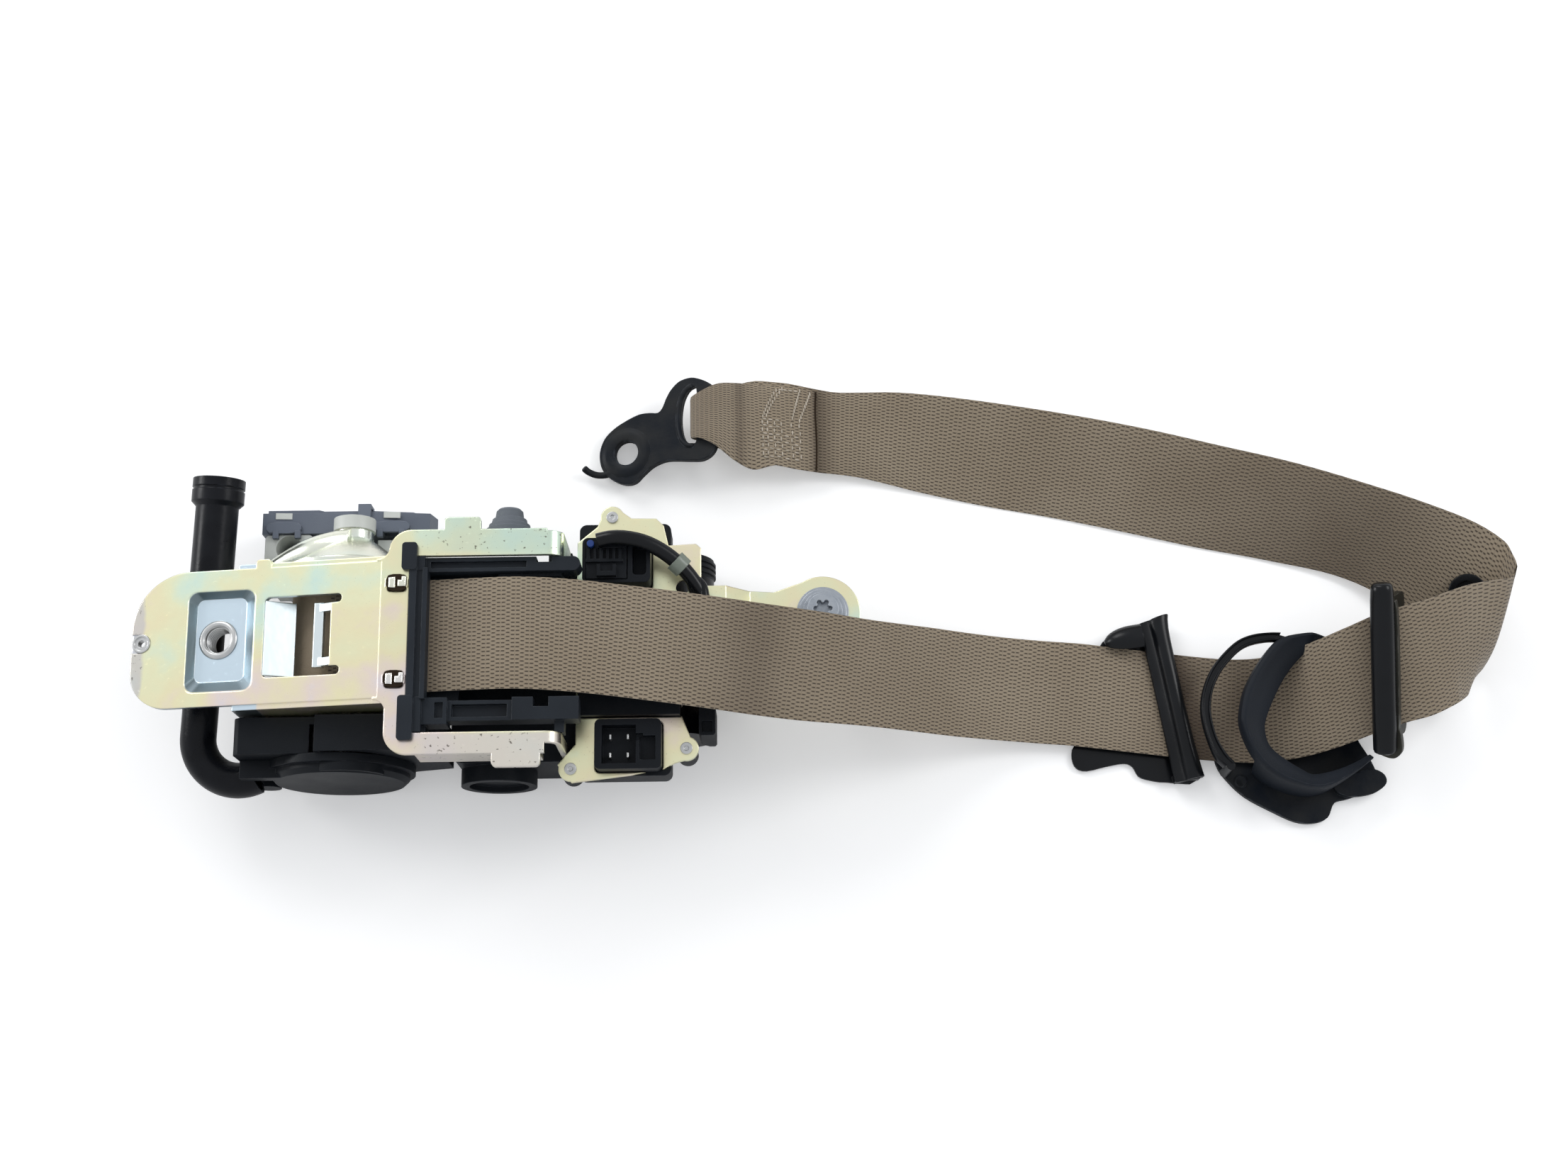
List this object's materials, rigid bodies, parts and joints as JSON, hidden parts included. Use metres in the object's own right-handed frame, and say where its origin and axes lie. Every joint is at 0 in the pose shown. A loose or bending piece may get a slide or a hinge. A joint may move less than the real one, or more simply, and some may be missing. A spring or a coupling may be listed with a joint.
{
  "type": "seat belt retractor assembly",
  "caption": "Seat belt assembly: retractor with locking spool and tensioner drive, folded webbing, belt guide, pillar loop, buckle tongue and anchor plate.",
  "frame": {"origin": "centre of the threaded mounting hole in the tongue, at the level of the recessed floor round it", "axes": "+X from the hole along the webbing towards the pillar loop, +Y across the webbing towards the anchor end, +Z away from the floor the part lies on"},
  "size_m": [0.5871, 0.2058, 0.0796],
  "materials": {
    "zinc_gold": "yellow zinc plating",
    "zinc_clear": "bright zinc plating",
    "black_steel": "black coated steel",
    "drum_alloy": "die cast",
    "black_plastic": "matte",
    "gloss_black": "gloss",
    "grey_plastic": "matte",
    "white_plastic": "matte",
    "blue_plastic": "gloss",
    "clear_band": "translucent",
    "rubber": "matte",
    "webbing": "woven",
    "copper": "wound core"
  },
  "bodies": {
    "frame": {"retractor_frame": "zinc_gold", "module_bracket": "zinc_gold", "threaded_collar": "zinc_clear", "locator_eyelet": "zinc_clear", "pawl_pin": "zinc_clear", "lock_housing": "zinc_clear", "return_spring": "zinc_clear", "bracket_rivets": "zinc_clear", "socket_pins": "zinc_clear", "torx_bolt": "zinc_clear", "bolt_washer": "zinc_clear", "gas_tube": "black_steel", "gas_generator": "black_steel", "motor_can": "black_steel", "web_guide": "black_plastic", "pretensioner_cover": "black_plastic", "spring_cover": "black_plastic", "ecu_housing": "black_plastic", "gear_case": "black_plastic", "motor_end_cap": "black_plastic", "motor_terminal": "black_plastic", "upper_socket": "black_plastic", "upper_plug": "black_plastic", "lower_socket": "black_plastic", "harness_lead": "gloss_black", "stop_button": "gloss_black", "button_back": "gloss_black", "sensor_cover": "grey_plastic", "sensor_clip": "grey_plastic", "north_bush": "white_plastic", "south_bush": "white_plastic", "boss_cap": "white_plastic", "sensor_base": "white_plastic", "plug_lock_pin": "blue_plastic", "lead_band": "clear_band", "rubber_dome": "rubber", "web_lower_run": "webbing", "web_rising_run": "webbing", "web_turn": "webbing", "web_upper_run": "webbing", "web_anchor_loop": "webbing"},
    "spool": {"spool_drum": "drum_alloy", "torsion_bar": "zinc_clear", "web_roll": "webbing", "ratchet_wheel": "zinc_clear", "spring_arbor": "white_plastic", "pretensioner_pinion": "zinc_clear"},
    "pawl": {"lock_pawl": "zinc_clear"},
    "sensor_ball": {"sensor_ball": "zinc_clear"},
    "sensor_lever": {"sensor_lever": "white_plastic"},
    "piston": {"gas_piston": "zinc_clear"},
    "rotor": {"motor_rotor": "copper"},
    "guide": {"belt_guide": "black_steel"},
    "pillar_loop": {"loop_plate": "black_steel", "loop_cover": "black_plastic", "loop_trim": "black_plastic"},
    "tongue": {"tongue_plate": "zinc_clear", "tongue_grip": "gloss_black"},
    "anchor": {"anchor_plate": "black_steel"}
  },
  "joints": [
    {"name": "spool_spin", "type": "hinge", "parent": "frame", "child": "spool", "pos_m": [0.05, 0, -0.022], "axis": [0, 1, 0], "continuous": true},
    {"name": "pawl_tilt", "type": "hinge", "parent": "frame", "child": "pawl", "pos_m": [0.07853, 0.0273, -0.03127], "axis": [0, 1, 0], "range_deg": [0, 6]},
    {"name": "ball_lift", "type": "slide", "parent": "frame", "child": "sensor_ball", "axis": [0, 0, 1], "range_m": [0, 0.001]},
    {"name": "lever_tilt", "type": "hinge", "parent": "frame", "child": "sensor_lever", "pos_m": [0.027, 0.0485, -0.0426], "axis": [0, 1, 0], "range_deg": [0, 8.19]},
    {"name": "piston_stroke", "type": "slide", "parent": "frame", "child": "piston", "axis": [-0.0605, -0.9896, -0.1305], "range_m": [0, 0.05]},
    {"name": "rotor_spin", "type": "hinge", "parent": "frame", "child": "rotor", "pos_m": [0.186, 0, -0.044], "axis": [0, 1, 0], "continuous": true},
    {"name": "guide_slide", "type": "slide", "parent": "frame", "child": "guide", "axis": [0.9925, -0.1226, 0], "range_m": [-0.012, 0.002]},
    {"name": "loop_slide", "type": "slide", "parent": "frame", "child": "pillar_loop", "axis": [1, 0, 0], "range_m": [-0.003, 0.001]},
    {"name": "tongue_slide", "type": "slide", "parent": "frame", "child": "tongue", "axis": [0.8987, 0.3295, 0.2896], "range_m": [-0.003, 0.003]},
    {"name": "anchor_swing", "type": "hinge", "parent": "frame", "child": "anchor", "pos_m": [0.1978, 0.112, -0.0445], "axis": [0, 1, 0], "range_deg": [0, 14]}
  ],
  "couplings": [
    {"joint": "lever_tilt", "follows": "ball_lift", "rad_per_m": 142.9}
  ]
}
